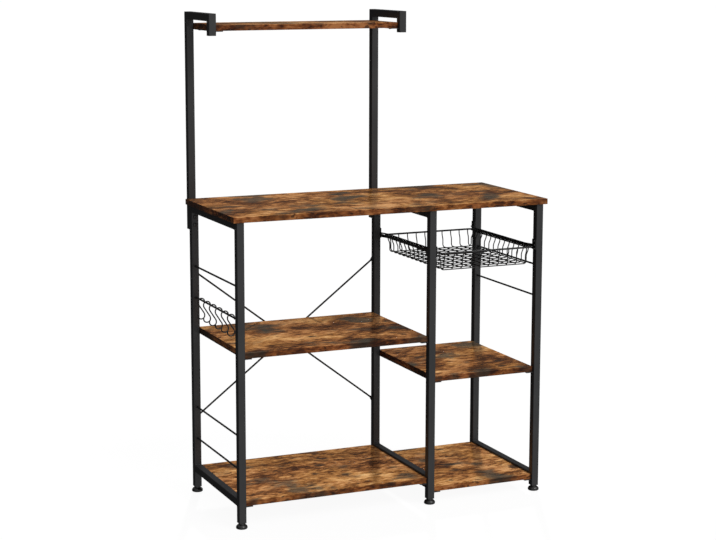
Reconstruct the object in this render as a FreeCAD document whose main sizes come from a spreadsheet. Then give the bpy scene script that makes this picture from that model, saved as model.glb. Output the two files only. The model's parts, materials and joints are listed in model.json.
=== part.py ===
import FreeCAD, Part

import math
import os

import Sketcher

# A freestanding bakers rack: three welded steel frames carry a worktop, four shelves, a raised shelf
# on two brackets, a wire basket that slides on wire guides, and a rung with six S-hooks.
# X runs from left to right, Y from front to rear and Z up, in millimetres. The origin is on the
# floor, in the middle of the rack's width and depth.

SIZES = {
    # steel frames
    "tube_size": 20,
    "tube_wall": 1.2,
    "tube_corner": 2,
    "frame_depth": 375,
    "frame_height": 800,
    "left_bay": 520,
    "right_bay": 300,
    "left_rail_height": 58,
    "right_rail_height": 32,
    # rods welded between the legs of the side frames
    "rung_radius": 2.5,
    "upper_rung_drop": 167.5,
    "hook_rung_drop": 253,
    "low_rung_height": 153,
    "low_rung_pitch": 88,
    # boards
    "board_thickness": 15,
    "board_edge": 0.6,
    "top_side_overhang": 10,
    "top_front_overhang": 5,
    "shelf_gap": 0.5,
    "shelf_setback": 7.5,
    "left_shelf_height": 447.5,
    "right_shelf_height": 336.5,
    # flat steel bars under the ends of the shelves
    "bar_width": 20,
    "bar_thickness": 2,
    "bar_setback": 5,
    # brackets and shelf above the worktop
    "bracket_top": 1315,
    "bracket_reach": 200,
    "bracket_drop": 55,
    "hutch_shelf_drop": 45,
    "hutch_shelf_setback": 10,
    # crossed rods behind the left bay
    "brace_radius": 2.5,
    "brace_low": 204.5,
    "brace_drop": 182,
    "brace_tab_radius": 7,
    "brace_tab_length": 14,
    "brace_tab_thickness": 2,
    "brace_taper": 14,
    "brace_stub": 30,
    "brace_crown": 24,
    "brace_crossing_gap": 0.3,
    "brace_bend": 40,
    # bolts, nuts and screws
    "bolt_radius": 3,
    "bolt_head_radius": 5.5,
    "bolt_head_height": 3.2,
    "bolt_head_edge": 1,
    "bolt_length": 12,
    "bolt_hole_gap": 0.25,
    "bracket_bolt_drop": 32,
    "bracket_bolt_pitch": 22,
    "nut_radius": 4.5,
    "nut_length": 12,
    "thread_gap": 0.05,
    "screw_radius": 1.75,
    "screw_head_radius": 3.5,
    "screw_head_height": 2,
    "screw_length": 9,
    # adjustable feet and the plugs that carry them
    "foot_radius": 15,
    "foot_edge": 1,
    "foot_wall": 6,
    "foot_height": 11,
    "foot_shoulder": 5,
    "foot_neck_radius": 8.5,
    "foot_neck_height": 3.7,
    "foot_gap": 0.3,
    "stud_radius": 3.9,
    "stud_length": 18,
    "stud_gap": 0.08,
    "plug_flange": 2,
    "plug_depth": 18,
    "cap_depth": 8,
    "cap_gap": 0.5,
    # wire basket
    "basket_length": 354,
    "basket_proud": 1,
    "basket_drop": 115.7,
    "basket_side_gap": 11,
    "basket_depth": 47,
    "rim_radius": 2.5,
    "rim_corner": 12,
    "mesh_radius": 1.5,
    "mesh_lip": 10,
    "mesh_bend": 3.5,
    "mesh_turn": 8,
    "mesh_jog_drop": 9,
    "mesh_jog_height": 14,
    "mesh_margin": 6,
    "cross_wires": 13,
    "long_wires": 10,
    # wire guides of the basket
    "guide_radius": 2,
    "guide_gap": 0.3,
    "guide_bend": 8,
    "guide_tail": 8,
    "guide_flat": 9,
    "guide_slope": 24,
    "guide_plate_width": 20,
    "guide_plate_height": 28,
    "guide_plate_drop": 8.3,
    "guide_plate_thickness": 2,
    "guide_screw_rise": 13.7,
    # S-hooks
    "hook_wire_radius": 1.75,
    "hook_bowl": 9.5,
    "hook_crown": 1,
    "hook_spread": 37.5,
    "hook_tip": 3,
    "hook_neck": 4,
    "hook_neck_bend": 12,
    "hook_gap": 0.3,
    "hook_pitch": 47,
    "hook_first": 57.5,
}
HOOKS = 6
# The corner radius of a rounded end, as a share of half its width; the rest stays straight.
ROUND_SHARE = 0.98

document = FreeCAD.newDocument("bakers_rack")
dims = document.addObject("Spreadsheet::Sheet", "dims")
for row, (alias, number) in enumerate(SIZES.items(), start=1):
    dims.set(f"A{row}", str(number))
    dims.setAlias(f"A{row}", alias)
document.recompute()

nodes = []


# Places that several pieces share, each worked out from the sizes above.

SPAN = "(3 * dims.tube_size + dims.left_bay + dims.right_bay)"
LEFT_X = f"(dims.tube_size / 2 - {SPAN} / 2)"
MIDDLE_X = "(dims.left_bay / 2 - dims.right_bay / 2)"
RIGHT_X = f"({SPAN} / 2 - dims.tube_size / 2)"
FRAME_X = {"left": LEFT_X, "middle": MIDDLE_X, "right": RIGHT_X}

REAR = "((dims.top_front_overhang + dims.frame_depth + dims.tube_size) / 2)"
LEG_REAR = f"({REAR} - dims.tube_size)"
LEG_FRONT = f"({LEG_REAR} - dims.frame_depth)"
FRONT_LEG_Y = f"({LEG_FRONT} + dims.tube_size / 2)"
REAR_LEG_Y = f"({LEG_REAR} - dims.tube_size / 2)"
MID_Y = f"({LEG_REAR} - dims.frame_depth / 2)"
RAIL_LENGTH = "(dims.frame_depth - 2 * dims.tube_size)"

LEG_BOTTOM = "(dims.foot_height + dims.foot_neck_height + dims.foot_gap + dims.plug_flange)"
BRACKET_Y = f"({LEG_REAR} + dims.tube_size / 2)"
HIGH_BOLT_Z = "(dims.frame_height - dims.bracket_bolt_drop)"
LOW_BOLT_Z = f"({HIGH_BOLT_Z} - dims.bracket_bolt_pitch)"
BOLT_HEIGHTS = (HIGH_BOLT_Z, LOW_BOLT_Z)
BRACKET_BOTTOM = f"({LOW_BOLT_Z} - dims.nut_radius - dims.cap_gap - dims.cap_depth)"
BRACE_HIGH = "(dims.frame_height - dims.brace_drop)"
BRACE_RUN = "(dims.left_bay + dims.tube_size)"
BRACE_RISE = f"({BRACE_HIGH} - dims.brace_low)"
BRACE_LENGTH = f"sqrt({BRACE_RUN} ^ 2 + {BRACE_RISE} ^ 2)"

BASKET_X = f"({MIDDLE_X} + dims.tube_size / 2 + dims.right_bay / 2)"
BASKET_Y = f"({LEG_FRONT} + dims.basket_proud + dims.basket_length / 2)"
RIM_Z = "(dims.frame_height - dims.basket_drop)"
HALF_WIDTH = "(dims.right_bay / 2 - dims.basket_side_gap)"
HALF_LENGTH = "(dims.basket_length / 2)"
GUIDE_SCREW_Z = f"({RIM_Z} + dims.guide_screw_rise)"
HOOK_RUNG_Z = "(dims.frame_height - dims.hook_rung_drop)"

X_AXIS = FreeCAD.Vector(1, 0, 0)
Y_AXIS = FreeCAD.Vector(0, 1, 0)
Z_AXIS = FreeCAD.Vector(0, 0, 1)


# Helpers for bodies, sketches and features.


def value(formula):
    """What a formula over the sizes gives."""
    return float(dims.evalExpression(formula))


def new_body(label):
    return document.addObject("PartDesign::Body", label)


def keep(piece):
    """List a piece as a sub-part of the rack, in a file with its label."""
    nodes.append(piece)
    return piece


def group(label, pieces):
    """One sub-part that holds several alike pieces."""
    compound = document.addObject("Part::Compound", label)
    compound.Links = pieces
    return keep(compound)


def place(piece, x="0", y="0", z="0", axis=Z_AXIS, angle=0):
    """Turn a piece about its own origin and set the origin at x, y, z."""
    piece.Placement = FreeCAD.Placement(FreeCAD.Vector(), FreeCAD.Rotation(axis, angle))
    for letter, formula in (("x", x), ("y", y), ("z", z)):
        piece.setExpression(f"Placement.Base.{letter}", formula)
    return piece


def origin_feature(body, role):
    return next(feature for feature in body.Origin.OriginFeatures if feature.Role == role)


def new_sketch(body, role, name, lift="0"):
    """A sketch on one of the body's origin planes, moved along the plane's normal by lift."""
    sketch = body.newObject("Sketcher::SketchObject", f"{body.Label}_{name}")
    sketch.AttachmentSupport = [(origin_feature(body, role), "")]
    sketch.MapMode = "FlatFace"
    sketch.setExpression("AttachmentOffset.Base.z", lift)
    return sketch


def new_feature(body, kind, name, profile):
    feature = body.newObject(f"PartDesign::{kind}", f"{body.Label}_{name}")
    feature.Profile = profile
    return feature


def hold(sketch, constraint, formula):
    index = sketch.addConstraint(constraint)
    sketch.setExpression(f"Constraints[{index}]", formula)


def pin(sketch, geometry, point, x, y):
    """Hold a point of the sketch at x, y from the sketch's origin."""
    for kind, axis, formula in (("DistanceX", -2, x), ("DistanceY", -1, y)):
        if formula == "0":
            sketch.addConstraint(Sketcher.Constraint("PointOnObject", geometry, point, axis))
        else:
            distance = Sketcher.Constraint(kind, -1, 1, geometry, point, value(formula))
            hold(sketch, distance, formula)


def corner_arc(before, corner, after, radius):
    """The arc that rounds a corner, where it starts and ends, and whether it turns left."""
    back = (before - corner).normalize()
    ahead = (after - corner).normalize()
    half = back.getAngle(ahead) / 2
    reach = corner + back * (radius / math.tan(half))
    leave = corner + ahead * (radius / math.tan(half))
    centre = corner + (back + ahead).normalize() * (radius / math.sin(half))
    left = ahead.cross(back).z > 0
    first, last = (reach, leave) if left else (leave, reach)
    start = math.atan2(first.y - centre.y, first.x - centre.x)
    end = math.atan2(last.y - centre.y, last.x - centre.x)
    if end < start:
        end += 2 * math.pi
    arc = Part.ArcOfCircle(Part.Circle(centre, Z_AXIS, radius), start, end)
    return arc, reach, leave, left


def trace(sketch, corners, closed=True):
    """Draw straight runs between corners (x, y, radius), rounded by tangent arcs where a radius is given."""
    places = [FreeCAD.Vector(value(x), value(y), 0) for x, y, radius in corners]
    count = len(corners)
    reach = list(places)
    leave = list(places)
    arcs = {}
    for i, (x, y, radius) in enumerate(corners):
        if radius is not None:
            around = (places[i - 1], places[i], places[(i + 1) % count])
            arc, reach[i], leave[i], left = corner_arc(*around, value(radius))
            arcs[i] = (arc, left)
    spans = count if closed else count - 1
    lines = [Part.LineSegment(leave[i], reach[(i + 1) % count]) for i in range(spans)]
    runs = [sketch.addGeometry(line) for line in lines]
    for i, (x, y, radius) in enumerate(corners):
        if not closed and i == 0:
            pin(sketch, runs[0], 1, x, y)
        elif not closed and i == count - 1:
            pin(sketch, runs[-1], 2, x, y)
        elif radius is None:
            sketch.addConstraint(Sketcher.Constraint("Coincident", runs[i - 1], 2, runs[i], 1))
            pin(sketch, runs[i], 1, x, y)
        else:
            arc, left = arcs[i]
            bend = sketch.addGeometry(arc)
            first, last = (1, 2) if left else (2, 1)
            corner = sketch.addGeometry(Part.Point(places[i]), True)
            pin(sketch, corner, 1, x, y)
            sketch.addConstraint(Sketcher.Constraint("PointOnObject", corner, 1, runs[i - 1]))
            sketch.addConstraint(Sketcher.Constraint("PointOnObject", corner, 1, runs[i]))
            sketch.addConstraint(Sketcher.Constraint("Tangent", runs[i - 1], 2, bend, first))
            sketch.addConstraint(Sketcher.Constraint("Tangent", bend, last, runs[i], 1))
            hold(sketch, Sketcher.Constraint("Radius", bend, value(radius)), radius)


def rectangle(sketch, half_width, half_height, radius=None, x="0", y="0"):
    """A rectangle about x, y, with round corners where a radius is given."""
    signs = (("-", "-"), ("+", "-"), ("+", "+"), ("-", "+"))
    corners = [(f"{x} {a} {half_width}", f"{y} {b} {half_height}", radius) for a, b in signs]
    trace(sketch, corners)


def circle(sketch, x, y, radius):
    middle = FreeCAD.Vector(value(x), value(y), 0)
    ring = sketch.addGeometry(Part.Circle(middle, Z_AXIS, value(radius)))
    pin(sketch, ring, 3, x, y)
    hold(sketch, Sketcher.Constraint("Radius", ring, value(radius)), radius)


def pad(body, name, sketch, length, reverse=False):
    feature = new_feature(body, "Pad", name, sketch)
    feature.setExpression("Length", length)
    feature.Reversed = reverse
    return feature


def bore(body, name, role, centres, radius, side="One side", reverse=False):
    """Cut round holes through the walls on one side of an origin plane, or on both sides."""
    sketch = new_sketch(body, role, f"{name}_centres")
    for x, y in centres:
        circle(sketch, x, y, radius)
    pocket = new_feature(body, "Pocket", name, sketch)
    pocket.Type = "ThroughAll"
    pocket.SideType = side
    pocket.Reversed = reverse
    return pocket


def pipe(body, name, section, path, corners="Transformed"):
    feature = new_feature(body, "AdditivePipe", name, section)
    feature.Spine = path
    feature.Transition = corners
    return feature


def turn_about_axis(body, name, outline):
    """Revolve an outline about the upright axis of its sketch."""
    feature = new_feature(body, "Revolution", name, outline)
    feature.ReferenceAxis = (outline, ["V_Axis"])
    feature.Angle = 360
    return feature


def repeat(body, name, feature, role, pitch, count):
    """A row of copies of a feature along one of the body's axes."""
    row = body.newObject("PartDesign::LinearPattern", f"{body.Label}_{name}")
    row.Originals = [feature]
    row.Direction = (origin_feature(body, role), [""])
    row.Mode = "Spacing"
    row.setExpression("Offset", pitch)
    row.setExpression("Occurrences", count)
    body.Tip = row
    return row


# Square tube, the stock of the frames and brackets.


def tube(label, length):
    """A square steel tube that runs up from the body's origin."""
    piece = new_body(label)
    section = new_sketch(piece, "XY_Plane", "section")
    rectangle(section, "dims.tube_size / 2", "dims.tube_size / 2", "dims.tube_corner")
    bore_half = "(dims.tube_size / 2 - dims.tube_wall)"
    rectangle(section, bore_half, bore_half)
    pad(piece, "tube", section, length)
    return piece


def mitre(piece, name, at_top, length, long_side):
    """Cut a tube's end at 45 degrees, so that it keeps its full length on one side, +1 or -1 in Y."""
    half = "dims.tube_size / 2"
    level, sign = (length, "") if at_top else ("0", "-")
    corners = [
        (f"{long_side} * 2 * {half}", f"{level} + {sign}1 * {half}", None),
        (f"{-long_side} * 2 * {half}", f"{level} - {sign}3 * {half}", None),
        (f"{-long_side} * 2 * {half}", f"{level} + {sign}1 * {half}", None),
    ]
    wedge = new_sketch(piece, "YZ_Plane", f"{name}_wedge")
    trace(wedge, corners)
    pocket = new_feature(piece, "Pocket", name, wedge)
    pocket.Type = "ThroughAll"
    pocket.SideType = "Symmetric"


def tube_plug(label, depth):
    """A plastic plug: a flange as wide as the tube, under the origin, and a body that fills its bore."""
    piece = new_body(label)
    flange = new_sketch(piece, "XY_Plane", "flange_outline")
    rectangle(flange, "dims.tube_size / 2", "dims.tube_size / 2", "dims.tube_corner")
    pad(piece, "flange", flange, "dims.plug_flange", reverse=True)
    core = new_sketch(piece, "XY_Plane", "core_outline")
    bore_half = "(dims.tube_size / 2 - dims.tube_wall)"
    rectangle(core, bore_half, bore_half)
    pad(piece, "core", core, depth)
    return piece


# Frames: two legs, a top rail and a bottom rail each, with rungs on the side frames.


def leg(frame, y, name):
    label = f"{frame}_{name}_leg"
    piece = tube(label, f"dims.frame_height - {LEG_BOTTOM}")
    place(piece, FRAME_X[frame], y, LEG_BOTTOM)
    return keep(piece)


def rail(frame, name, middle_height):
    piece = tube(f"{frame}_{name}_rail", RAIL_LENGTH)
    place(piece, FRAME_X[frame], f"{LEG_FRONT} + dims.tube_size", middle_height, X_AXIS, -90)
    return keep(piece)


def above_leg_bottom(height):
    return f"({height} - {LEG_BOTTOM})"


def bore_bracket_bolts(piece):
    """Two holes through both walls of a rear leg, for the bolts of a bracket."""
    centres = [("0", above_leg_bottom(height)) for height in BOLT_HEIGHTS]
    bore(piece, "bracket_holes", "XZ_Plane", centres, "dims.bolt_radius + dims.bolt_hole_gap", "Symmetric")


def bore_brace_nuts(piece):
    """Two holes in the rear wall of a rear leg, for the nuts that hold the crossed rods."""
    centres = [("0", above_leg_bottom(height)) for height in ("dims.brace_low", BRACE_HIGH)]
    bore(piece, "brace_holes", "XZ_Plane", centres, "dims.nut_radius + dims.thread_gap")


def bore_guide_screw(piece, reverse):
    """One hole in the wall of a leg that faces the basket."""
    centres = [("0", above_leg_bottom(GUIDE_SCREW_Z))]
    radius = "dims.screw_radius + dims.thread_gap"
    bore(piece, "guide_hole", "YZ_Plane", centres, radius, reverse=reverse)


def make_frames():
    legs = {}
    for frame in FRAME_X:
        legs[frame] = (leg(frame, FRONT_LEG_Y, "front"), leg(frame, REAR_LEG_Y, "rear"))
        rail(frame, "top", "dims.frame_height - dims.tube_size / 2")
        low = "dims.right_rail_height" if frame == "right" else "dims.left_rail_height"
        rail(frame, "bottom", f"{low} + dims.tube_size / 2")
    for frame in ("left", "middle"):
        bore_bracket_bolts(legs[frame][1])
        bore_brace_nuts(legs[frame][1])
    for piece in legs["middle"]:
        bore_guide_screw(piece, reverse=True)
    for piece in legs["right"]:
        bore_guide_screw(piece, reverse=False)


def rung(label, frame, height):
    """A rod between the front and the rear leg of a side frame."""
    rod = document.addObject("Part::Cylinder", label)
    rod.setExpression("Radius", "dims.rung_radius")
    rod.setExpression("Height", RAIL_LENGTH)
    return place(rod, FRAME_X[frame], f"{LEG_FRONT} + dims.tube_size", height, X_AXIS, -90)


def make_rungs():
    upper = "dims.frame_height - dims.upper_rung_drop"
    low = "dims.low_rung_height"
    keep(rung("left_hook_rung", "left", HOOK_RUNG_Z))
    left_heights = (upper, f"{low} + dims.low_rung_pitch", low)
    group("left_rungs", [rung(f"left_rung_{i}", "left", z) for i, z in enumerate(left_heights, 1)])
    right_heights = (upper, HOOK_RUNG_Z)
    group("right_rungs", [rung(f"right_rung_{i}", "right", z) for i, z in enumerate(right_heights, 1)])


# Boards and the bars under their ends.


def board(label, width, depth, x, y, z):
    """A board about x, y, with its underside at z and its edges eased."""
    piece = new_body(label)
    outline = new_sketch(piece, "XY_Plane", "outline")
    rectangle(outline, f"{width} / 2", f"{depth} / 2")
    panel = pad(piece, "panel", outline, "dims.board_thickness")
    eased = piece.newObject("PartDesign::Chamfer", f"{label}_eased")
    eased.Base = (panel, [])
    eased.UseAllEdges = True
    eased.setExpression("Size", "dims.board_edge")
    return keep(place(piece, x, y, z))


def bar(label, x, length, middle_y, z):
    """A flat bar along Y, centred on x and middle_y, with its upper face at z."""
    strip = document.addObject("Part::Box", label)
    strip.setExpression("Length", "dims.bar_width")
    strip.setExpression("Width", length)
    strip.setExpression("Height", "dims.bar_thickness")
    y = f"{middle_y} - ({length}) / 2"
    return place(strip, f"{x} - dims.bar_width / 2", y, f"{z} - dims.bar_thickness")


def bay(name):
    """The middle and the clear width of the left or the right bay."""
    width = f"dims.{name}_bay"
    start = LEFT_X if name == "left" else MIDDLE_X
    return f"({start} + dims.tube_size / 2 + {width} / 2)", width


def shelf(label, side, z):
    """A shelf between two frames, and the two bars that carry its ends."""
    middle, width = bay(side)
    depth = "(dims.frame_depth - 2 * dims.shelf_setback)"
    board(label, f"({width} - 2 * dims.shelf_gap)", depth, middle, MID_Y, z)
    offset = f"({width} / 2 - dims.bar_width / 2)"
    length = "(dims.frame_depth - 2 * dims.bar_setback)"
    ends = (("left", f"{middle} - {offset}"), ("right", f"{middle} + {offset}"))
    return [bar(f"{label}_{end}_bar", x, length, MID_Y, z) for end, x in ends]


def make_boards():
    width = f"({SPAN} + 2 * dims.top_side_overhang)"
    depth = "(dims.frame_depth + dims.top_front_overhang)"
    board("worktop", width, depth, "0", f"{LEG_REAR} - {depth} / 2", "dims.frame_height")
    bars = shelf("left_middle_shelf", "left", "dims.left_shelf_height")
    bars += shelf("left_bottom_shelf", "left", "dims.left_rail_height")
    bars += shelf("right_middle_shelf", "right", "dims.right_shelf_height")
    bars += shelf("right_bottom_shelf", "right", "dims.right_rail_height")
    group("shelf_support_bars", bars)


# Brackets behind and above the worktop, with their shelf.


def make_bracket(frame):
    x = FRAME_X[frame]
    height = f"(dims.bracket_top - {BRACKET_BOTTOM})"
    upright = tube(f"{frame}_hutch_upright", height)
    mitre(upright, "mitre", True, height, 1)
    centres = [("0", f"({z} - {BRACKET_BOTTOM})") for z in BOLT_HEIGHTS]
    radius = "dims.nut_radius + dims.thread_gap"
    bore(upright, "nut_holes", "XZ_Plane", centres, radius, reverse=True)
    keep(place(upright, x, BRACKET_Y, BRACKET_BOTTOM))

    arm = tube(f"{frame}_hutch_arm", "dims.bracket_reach")
    mitre(arm, "front_mitre", False, "dims.bracket_reach", -1)
    mitre(arm, "rear_mitre", True, "dims.bracket_reach", -1)
    front = f"({REAR} - dims.bracket_reach)"
    keep(place(arm, x, front, "dims.bracket_top - dims.tube_size / 2", X_AXIS, -90))

    drop = tube(f"{frame}_hutch_drop", "dims.bracket_drop")
    mitre(drop, "mitre", True, "dims.bracket_drop", -1)
    drop_bottom = "(dims.bracket_top - dims.bracket_drop)"
    keep(place(drop, x, f"{front} + dims.tube_size / 2", drop_bottom))

    upright_cap = tube_plug(f"{frame}_upright_cap", "dims.cap_depth")
    place(upright_cap, x, BRACKET_Y, BRACKET_BOTTOM)
    drop_cap = tube_plug(f"{frame}_drop_cap", "dims.cap_depth")
    place(drop_cap, x, f"{front} + dims.tube_size / 2", drop_bottom)
    return [upright_cap, drop_cap]


def make_hutch():
    group("hutch_plugs", make_bracket("left") + make_bracket("middle"))
    middle, width = bay("left")
    z = "(dims.bracket_top - dims.hutch_shelf_drop)"
    y = f"({REAR} - dims.bracket_reach / 2)"
    depth = "(dims.bracket_reach - 2 * dims.hutch_shelf_setback)"
    board("hutch_shelf", f"({width} - 2 * dims.shelf_gap)", depth, middle, y, z)
    offset = f"({width} / 2 - dims.bar_width / 2)"
    length = "(dims.bracket_reach - 2 * dims.bar_setback)"
    ends = (("left", f"{middle} - {offset}"), ("right", f"{middle} + {offset}"))
    group("hutch_support_bars", [bar(f"hutch_{end}_bar", x, length, y, z) for end, x in ends])


# Crossed rods behind the left bay, each with its ends pressed flat and bolted to the legs.


def rod_end(piece, name, at, sign):
    """A flat tab with a hole at x = at, and the taper from the tab to the round rod."""
    tab_end = f"{at} {sign} dims.brace_tab_length"
    outline = new_sketch(piece, "XZ_Plane", f"{name}_tab_outline")
    reach = "dims.brace_tab_radius"
    tip = f"{at} - {sign}1 * {reach}"
    corners = [
        (tip, f"-1 * {reach}", f"{reach} * {ROUND_SHARE}"),
        (tab_end, f"-1 * {reach}", None),
        (tab_end, reach, None),
        (tip, reach, f"{reach} * {ROUND_SHARE}"),
    ]
    trace(outline, corners)
    circle(outline, at, "0", "dims.bolt_radius + dims.bolt_hole_gap")
    pad(piece, f"{name}_tab", outline, "dims.brace_tab_thickness", reverse=True)

    flat = new_sketch(piece, "YZ_Plane", f"{name}_flat_section", tab_end)
    half = "dims.brace_tab_thickness / 2"
    rectangle(flat, half, reach, f"{half} * {ROUND_SHARE}", x=half)
    rod_start = f"{tab_end} {sign} dims.brace_taper"
    round_section = new_sketch(piece, "YZ_Plane", f"{name}_round_section", rod_start)
    radius = "dims.brace_radius"
    rectangle(round_section, radius, radius, f"{radius} * {ROUND_SHARE}", x=radius)
    taper = new_feature(piece, "AdditiveLoft", f"{name}_taper", flat)
    taper.Sections = [round_section]
    return rod_start


def brace_rod(label, bowed):
    """A rod along X whose tabs lie on the plane y = 0; a bowed one steps over the straight one."""
    piece = new_body(label)
    start = rod_end(piece, "low", "0", "+")
    end = rod_end(piece, "high", BRACE_LENGTH, "-")
    radius = "dims.brace_radius"
    section = new_sketch(piece, "YZ_Plane", "rod_section", start)
    circle(section, radius, "0", radius)
    if bowed:
        over = f"(3 * {radius} + dims.brace_crossing_gap)"
        bend = "dims.brace_bend"
        path = new_sketch(piece, "XY_Plane", "path")
        corners = [
            (start, radius, None),
            (f"{start} + dims.brace_stub", radius, bend),
            (f"{BRACE_LENGTH} / 2 - dims.brace_crown / 2", over, bend),
            (f"{BRACE_LENGTH} / 2 + dims.brace_crown / 2", over, bend),
            (f"{end} - dims.brace_stub", radius, bend),
            (end, radius, None),
        ]
        trace(path, corners, closed=False)
        pipe(piece, "rod", section, path)
    else:
        pad(piece, "rod", section, f"({end}) - ({start})")
    return keep(piece)


def make_brace():
    rising = brace_rod("brace_rod_rising", bowed=False)
    place(rising, LEFT_X, LEG_REAR, "dims.brace_low", -Y_AXIS)
    falling = brace_rod("brace_rod_falling", bowed=True)
    place(falling, LEFT_X, LEG_REAR, BRACE_HIGH, Y_AXIS)
    for piece, axis in ((rising, -Y_AXIS), (falling, Y_AXIS)):
        piece.Placement.Rotation = FreeCAD.Rotation(axis, 1)
        piece.setExpression("Placement.Rotation.Angle", f"atan({BRACE_RISE} / {BRACE_RUN})")


# Bolts, nuts and screws.


def fastener(label, radius, length, head_radius, head_height, head_edge):
    """A screw or bolt that points down, the underside of its head at the origin."""
    piece = new_body(label)
    outline = new_sketch(piece, "XZ_Plane", "outline")
    corners = [
        ("0", f"-1 * {length}", None),
        (radius, f"-1 * {length}", None),
        (radius, "0", None),
        (head_radius, "0", None),
        (head_radius, f"{head_height} - {head_edge}", None),
        (f"{head_radius} - {head_edge}", head_height, None),
        ("0", head_height, None),
    ]
    trace(outline, corners)
    turn_about_axis(piece, "turned", outline)
    return piece


def bolt(label, length):
    sizes = ("dims.bolt_head_radius", "dims.bolt_head_height", "dims.bolt_head_edge")
    return fastener(label, "dims.bolt_radius", length, *sizes)


def rivet_nut(label):
    """A threaded sleeve that runs up from the origin."""
    piece = new_body(label)
    section = new_sketch(piece, "XY_Plane", "section")
    circle(section, "0", "0", "dims.nut_radius")
    circle(section, "0", "0", "dims.bolt_radius + dims.thread_gap")
    pad(piece, "sleeve", section, "dims.nut_length")
    return piece


def make_bolts():
    bracket_bolts = []
    brace_bolts = []
    nuts = []
    reach = "(dims.tube_size + dims.bolt_length)"
    for frame in ("left", "middle"):
        x = FRAME_X[frame]
        for i, z in enumerate(BOLT_HEIGHTS, 1):
            item = bolt(f"{frame}_bracket_bolt_{i}", reach)
            bracket_bolts.append(place(item, x, f"{LEG_REAR} - dims.tube_size", z, X_AXIS, 90))
            nut = rivet_nut(f"{frame}_bracket_nut_{i}")
            nuts.append(place(nut, x, LEG_REAR, z, X_AXIS, -90))
        for i, z in enumerate(("dims.brace_low", BRACE_HIGH), 1):
            item = bolt(f"{frame}_brace_bolt_{i}", "dims.bolt_length")
            brace_bolts.append(place(item, x, f"{LEG_REAR} + dims.brace_tab_thickness", z, X_AXIS, -90))
            nut = rivet_nut(f"{frame}_brace_nut_{i}")
            nuts.append(place(nut, x, LEG_REAR, z, X_AXIS, 90))
    group("hutch_bolts", bracket_bolts)
    group("brace_bolts", brace_bolts)
    group("rivet_nuts", nuts)


# Feet, which screw into plugs in the legs.


def leg_plug(label):
    piece = tube_plug(label, "dims.plug_depth")
    thread = new_sketch(piece, "XY_Plane", "thread_outline")
    circle(thread, "0", "0", "dims.stud_radius + dims.stud_gap")
    pocket = new_feature(piece, "Pocket", "thread", thread)
    pocket.Type = "ThroughAll"
    pocket.SideType = "Symmetric"
    return piece


def foot(label):
    """A round pad with sloped shoulders, a neck and a threaded stud."""
    piece = new_body(label)
    neck_top = "(dims.foot_height + dims.foot_neck_height)"
    corners = [
        ("0", "0", None),
        ("dims.foot_radius - dims.foot_edge", "0", None),
        ("dims.foot_radius", "dims.foot_edge", None),
        ("dims.foot_radius", "dims.foot_wall", None),
        ("dims.foot_radius - dims.foot_shoulder", "dims.foot_height", None),
        ("dims.foot_neck_radius", "dims.foot_height", None),
        ("dims.foot_neck_radius", neck_top, None),
        ("dims.stud_radius", neck_top, None),
        ("dims.stud_radius", f"{neck_top} + dims.stud_length", None),
        ("0", f"{neck_top} + dims.stud_length", None),
    ]
    outline = new_sketch(piece, "XZ_Plane", "outline")
    trace(outline, corners)
    turn_about_axis(piece, "turned", outline)
    return keep(piece)


def make_feet():
    plugs = []
    for frame, x in FRAME_X.items():
        for name, y in (("front", FRONT_LEG_Y), ("rear", REAR_LEG_Y)):
            plugs.append(place(leg_plug(f"{frame}_{name}_plug"), x, y, LEG_BOTTOM))
            place(foot(f"{frame}_{name}_foot"), x, y)
    group("leg_plugs", plugs)


# Wire basket, drawn about the middle of its rim, and its guides.

WALL_X = f"({HALF_WIDTH} - dims.mesh_lip)"
WALL_Y = f"({HALF_LENGTH} - dims.mesh_lip)"
CROSS_FIRST = f"(dims.mesh_margin - {WALL_Y})"
CROSS_PITCH = f"(2 * ({WALL_Y} - dims.mesh_margin) / (dims.cross_wires - 1))"
LONG_FIRST = f"(dims.mesh_margin - {WALL_X})"
LONG_PITCH = f"(2 * ({WALL_X} - dims.mesh_margin) / (dims.long_wires - 1))"
CROSS_Z = "(-1 * dims.basket_depth)"
LONG_Z = "(2 * dims.mesh_radius - dims.basket_depth)"
MID_Y_TO_LEG = "(dims.frame_depth / 2 - dims.tube_size / 2)"


def basket_piece(label):
    return keep(place(new_body(label), BASKET_X, BASKET_Y, RIM_Z))


def make_rim():
    piece = basket_piece("basket_rim")
    path = new_sketch(piece, "XY_Plane", "path")
    rectangle(path, HALF_WIDTH, HALF_LENGTH, "dims.rim_corner")
    section = new_sketch(piece, "XZ_Plane", "section")
    circle(section, f"-1 * {HALF_WIDTH}", "0", "dims.rim_radius")
    pipe(piece, "wire", section, path)


def make_floor():
    """Two layers of straight wires, the long ones lying on the ones across."""
    cross = basket_piece("basket_cross_wires")
    reach = f"({WALL_X} - dims.mesh_turn)"
    section = new_sketch(cross, "YZ_Plane", "section", f"-1 * {reach}")
    circle(section, CROSS_FIRST, CROSS_Z, "dims.mesh_radius")
    wire = pad(cross, "wire", section, f"2 * {reach}")
    repeat(cross, "row", wire, "Y_Axis", CROSS_PITCH, "dims.cross_wires")

    long = basket_piece("basket_long_wires")
    reach = f"({WALL_Y} - dims.mesh_turn)"
    section = new_sketch(long, "XZ_Plane", "section", f"-1 * {reach}")
    circle(section, LONG_FIRST, LONG_Z, "dims.mesh_radius")
    wire = pad(long, "wire", section, f"2 * {reach}")
    repeat(long, "row", wire, "X_Axis", LONG_PITCH, "dims.long_wires")


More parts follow.
